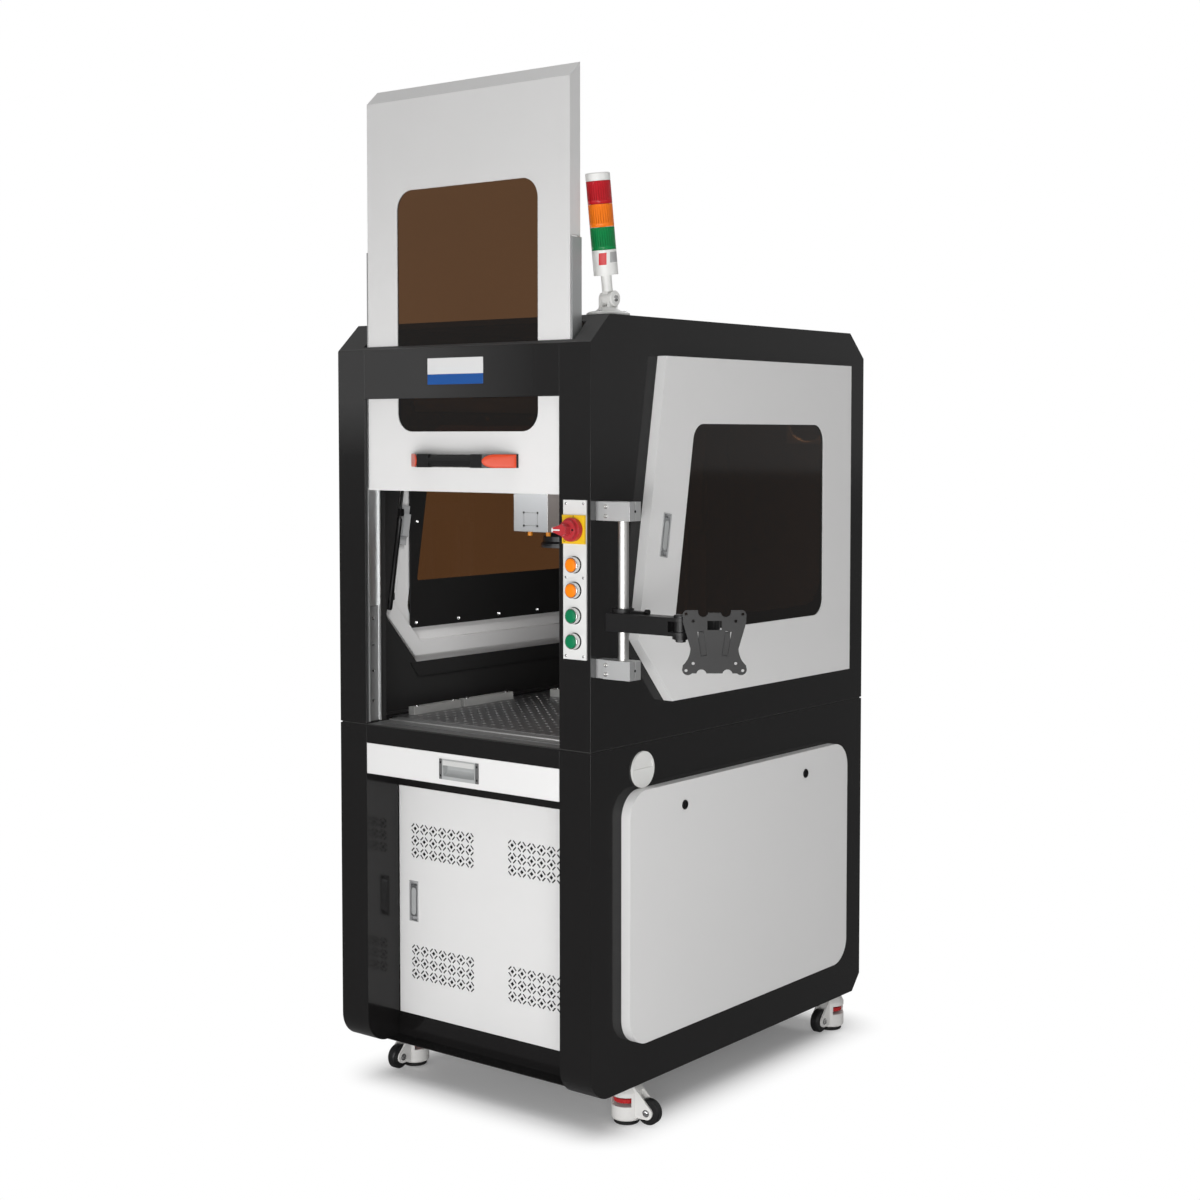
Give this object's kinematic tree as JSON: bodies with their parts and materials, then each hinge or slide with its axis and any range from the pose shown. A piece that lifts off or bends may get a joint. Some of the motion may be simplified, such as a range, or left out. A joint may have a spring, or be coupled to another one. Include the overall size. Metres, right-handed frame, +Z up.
{
  "type": "laser engraving machine",
  "caption": "Enclosed floor-standing laser engraver with a raised lift door, tinted windows, side doors, push buttons, swing-out monitor arm, signal tower and levelling casters.",
  "frame": {"origin": "on the floor, under the middle of the whole object's bounding box", "axes": "+Z up, +Y from the operator's front to the back, +X to the operator's right"},
  "size_m": [0.9743, 1.0372, 2.0129],
  "materials": {
    "black_paint": "satin black powder coat",
    "white_paint": "satin white powder coat",
    "galvanised": "bright galvanised",
    "steel": "ground steel",
    "cast_zinc": "satin cast",
    "table_steel": "dark ground steel",
    "amber_pane": "amber laser-safe pane",
    "white_plastic": "satin",
    "control_white": "satin",
    "red_plastic": "satin red",
    "amber_button": "lit amber",
    "green_button": "green",
    "lens_stack": "red, amber and green lenses",
    "black_cast": "fine textured black",
    "white_cast": "painted die cast",
    "wheel_black": "satin nylon",
    "foot_rubber": "black pad with red thumb wheel",
    "handle": "black with orange ends",
    "cup": "grey",
    "anodised": "dark anodised",
    "grey_housing": "grey anodised",
    "fence": "satin"
  },
  "bodies": {
    "cabinet": {"base_pan": "black_paint", "lower_left": "black_paint", "lower_right": "black_paint", "drawer_housing": "black_paint", "deck": "black_paint", "upper_left": "black_paint", "upper_right": "black_paint", "top_cover": "black_paint", "back_panels": "black_paint", "duct_spigot": "galvanised", "service_panels": "white_paint", "cable_cap": "white_plastic", "work_table": "table_steel", "table_fences": "fence", "control_plate": "control_white", "pole": "steel", "pole_clamps": "cast_zinc", "slide_outers": "galvanised", "tower_base": "white_plastic", "column": "anodised", "electronics": "grey_housing"},
    "lift": {"lift_door": "white_paint", "lift_glass": "amber_pane", "lift_handle": "handle", "slide_inners": "galvanised"},
    "slides": {"slide_middles": "galvanised"},
    "right_door": {"right_door": "white_paint", "right_glass": "amber_pane"},
    "left_door": {"left_door": "white_paint", "left_glass": "amber_pane"},
    "right_latch": {"right_latch": "cast_zinc"},
    "left_latch": {"left_latch": "cast_zinc"},
    "front_door": {"front_door": "white_paint"},
    "front_latch": {"front_latch": "cast_zinc"},
    "drawer": {"drawer": "white_paint", "drawer_pull": "cup"},
    "isolator": {"isolator_handle": "red_plastic"},
    "button_1": {"button_1": "amber_button"},
    "button_2": {"button_2": "amber_button"},
    "button_3": {"button_3": "green_button"},
    "button_4": {"button_4": "green_button"},
    "arm_inner": {"arm_inner": "black_cast"},
    "arm_outer": {"arm_outer": "black_cast"},
    "arm_head": {"arm_head": "black_cast"},
    "monitor_plate": {"monitor_plate": "black_cast"},
    "tower": {"tower_body": "white_plastic", "tower_lenses": "lens_stack"},
    "z_axis": {"carriage": "anodised", "scan_head": "grey_housing"},
    "foot_1": {"foot_1": "foot_rubber"},
    "caster_1": {"caster_1": "white_cast"},
    "wheel_1": {"wheel_1": "wheel_black"},
    "foot_2": {"foot_2": "foot_rubber"},
    "caster_2": {"caster_2": "white_cast"},
    "wheel_2": {"wheel_2": "wheel_black"},
    "foot_3": {"foot_3": "foot_rubber"},
    "caster_3": {"caster_3": "white_cast"},
    "wheel_3": {"wheel_3": "wheel_black"},
    "foot_4": {"foot_4": "foot_rubber"},
    "caster_4": {"caster_4": "white_cast"},
    "wheel_4": {"wheel_4": "wheel_black"}
  },
  "joints": [
    {"name": "lift_door_slide", "type": "slide", "parent": "cabinet", "child": "lift", "axis": [0, 0, -1], "range_m": [0, 0.469]},
    {"name": "slide_middle_follow", "type": "slide", "parent": "cabinet", "child": "slides", "axis": [0, 0, -1], "range_m": [0, 0.2345]},
    {"name": "right_door_hinge", "type": "hinge", "parent": "cabinet", "child": "right_door", "pos_m": [0.19776, 0.41415, 1.149], "axis": [0, 0, 1], "range_deg": [0, 110]},
    {"name": "left_door_hinge", "type": "hinge", "parent": "cabinet", "child": "left_door", "pos_m": [-0.47624, 0.41415, 1.149], "axis": [0, 0, -1], "range_deg": [0, 110]},
    {"name": "right_latch_paddle", "type": "hinge", "parent": "right_door", "child": "right_latch", "pos_m": [0.20576, -0.2706, 1.16957], "axis": [0, -0.986, 0.1665], "range_deg": [0, 35], "stiffness_Nm_per_rad": 0.06, "springref_deg": -5.73},
    {"name": "left_latch_paddle", "type": "hinge", "parent": "left_door", "child": "left_latch", "pos_m": [-0.48424, -0.2706, 1.16957], "axis": [0, 0.986, -0.1665], "range_deg": [0, 35], "stiffness_Nm_per_rad": 0.06, "springref_deg": -5.73},
    {"name": "front_door_hinge", "type": "hinge", "parent": "cabinet", "child": "front_door", "pos_m": [0.10676, -0.39135, 0.3725], "axis": [0, 0, 1], "range_deg": [0, 92]},
    {"name": "front_latch_paddle", "type": "hinge", "parent": "front_door", "child": "front_latch", "pos_m": [-0.34924, -0.38235, 0.4035], "axis": [-1, 0, 0], "range_deg": [0, 35], "stiffness_Nm_per_rad": 0.06, "springref_deg": -5.73},
    {"name": "drawer_slide", "type": "slide", "parent": "cabinet", "child": "drawer", "axis": [0, -1, 0], "range_m": [0, 0.38]},
    {"name": "isolator_turn", "type": "hinge", "parent": "cabinet", "child": "isolator", "pos_m": [0.15176, -0.47735, 1.156], "axis": [0, 1, 0], "range_deg": [0, 90]},
    {"name": "button_1_press", "type": "slide", "parent": "cabinet", "child": "button_1", "axis": [0, 1, 0], "range_m": [0, 0.004], "stiffness_N_per_m": 300, "springref_m": -0.002},
    {"name": "button_2_press", "type": "slide", "parent": "cabinet", "child": "button_2", "axis": [0, 1, 0], "range_m": [0, 0.004], "stiffness_N_per_m": 300, "springref_m": -0.002},
    {"name": "button_3_press", "type": "slide", "parent": "cabinet", "child": "button_3", "axis": [0, 1, 0], "range_m": [0, 0.004], "stiffness_N_per_m": 300, "springref_m": -0.002},
    {"name": "button_4_press", "type": "slide", "parent": "cabinet", "child": "button_4", "axis": [0, 1, 0], "range_m": [0, 0.004], "stiffness_N_per_m": 300, "springref_m": -0.002},
    {"name": "arm_swing", "type": "hinge", "parent": "cabinet", "child": "arm_inner", "pos_m": [0.24076, -0.44935, 0.989], "axis": [0, 0, 1], "range_deg": [-95, 50]},
    {"name": "elbow", "type": "hinge", "parent": "arm_inner", "child": "arm_outer", "pos_m": [0.37676, -0.45935, 0.989], "axis": [0, 0, 1], "range_deg": [-60, 30]},
    {"name": "head_swivel", "type": "hinge", "parent": "arm_outer", "child": "arm_head", "pos_m": [0.40681, -0.40284, 0.964], "axis": [0, 0, 1], "range_deg": [0, 140]},
    {"name": "plate_tilt", "type": "hinge", "parent": "arm_head", "child": "monitor_plate", "pos_m": [0.42466, -0.42569, 0.964], "axis": [0.788, 0.6157, 0], "range_deg": [-12, 12]},
    {"name": "tower_fold", "type": "hinge", "parent": "cabinet", "child": "tower", "pos_m": [0.14176, -0.36735, 1.584], "axis": [1, 0, 0], "range_deg": [-98, 0]},
    {"name": "head_lift", "type": "slide", "parent": "cabinet", "child": "z_axis", "axis": [0, 0, 1], "range_m": [-0.2, 0.15]},
    {"name": "foot_1_turn", "type": "hinge", "parent": "cabinet", "child": "foot_1", "pos_m": [0.14276, -0.30935, 0.03], "axis": [0, 0, 1], "continuous": true},
    {"name": "caster_1_swivel", "type": "hinge", "parent": "cabinet", "child": "caster_1", "pos_m": [0.14276, -0.30935, 0.06], "axis": [0, 0, 1], "continuous": true},
    {"name": "wheel_1_spin", "type": "hinge", "parent": "caster_1", "child": "wheel_1", "pos_m": [0.19228, -0.30239, 0.028], "axis": [-0.1392, 0.9903, 0], "continuous": true},
    {"name": "foot_2_turn", "type": "hinge", "parent": "cabinet", "child": "foot_2", "pos_m": [-0.42124, -0.30935, 0.03], "axis": [0, 0, 1], "continuous": true},
    {"name": "caster_2_swivel", "type": "hinge", "parent": "cabinet", "child": "caster_2", "pos_m": [-0.42124, -0.30935, 0.06], "axis": [0, 0, 1], "continuous": true},
    {"name": "wheel_2_spin", "type": "hinge", "parent": "caster_2", "child": "wheel_2", "pos_m": [-0.42124, -0.35935, 0.028], "axis": [1, 0, 0], "continuous": true},
    {"name": "foot_3_turn", "type": "hinge", "parent": "cabinet", "child": "foot_3", "pos_m": [0.14276, 0.44465, 0.03], "axis": [0, 0, 1], "continuous": true},
    {"name": "caster_3_swivel", "type": "hinge", "parent": "cabinet", "child": "caster_3", "pos_m": [0.14276, 0.44465, 0.06], "axis": [0, 0, 1], "continuous": true},
    {"name": "wheel_3_spin", "type": "hinge", "parent": "caster_3", "child": "wheel_3", "pos_m": [0.14451, 0.39468, 0.028], "axis": [0.9994, 0.0349, 0], "continuous": true},
    {"name": "foot_4_turn", "type": "hinge", "parent": "cabinet", "child": "foot_4", "pos_m": [-0.42124, 0.44465, 0.03], "axis": [0, 0, 1], "continuous": true},
    {"name": "caster_4_swivel", "type": "hinge", "parent": "cabinet", "child": "caster_4", "pos_m": [-0.42124, 0.44465, 0.06], "axis": [0, 0, 1], "continuous": true},
    {"name": "wheel_4_spin", "type": "hinge", "parent": "caster_4", "child": "wheel_4", "pos_m": [-0.39624, 0.40135, 0.028], "axis": [0.866, 0.5, 0], "continuous": true}
  ],
  "couplings": [
    {"joint": "slide_middle_follow", "follows": "lift_door_slide", "ratio": 0.5}
  ]
}
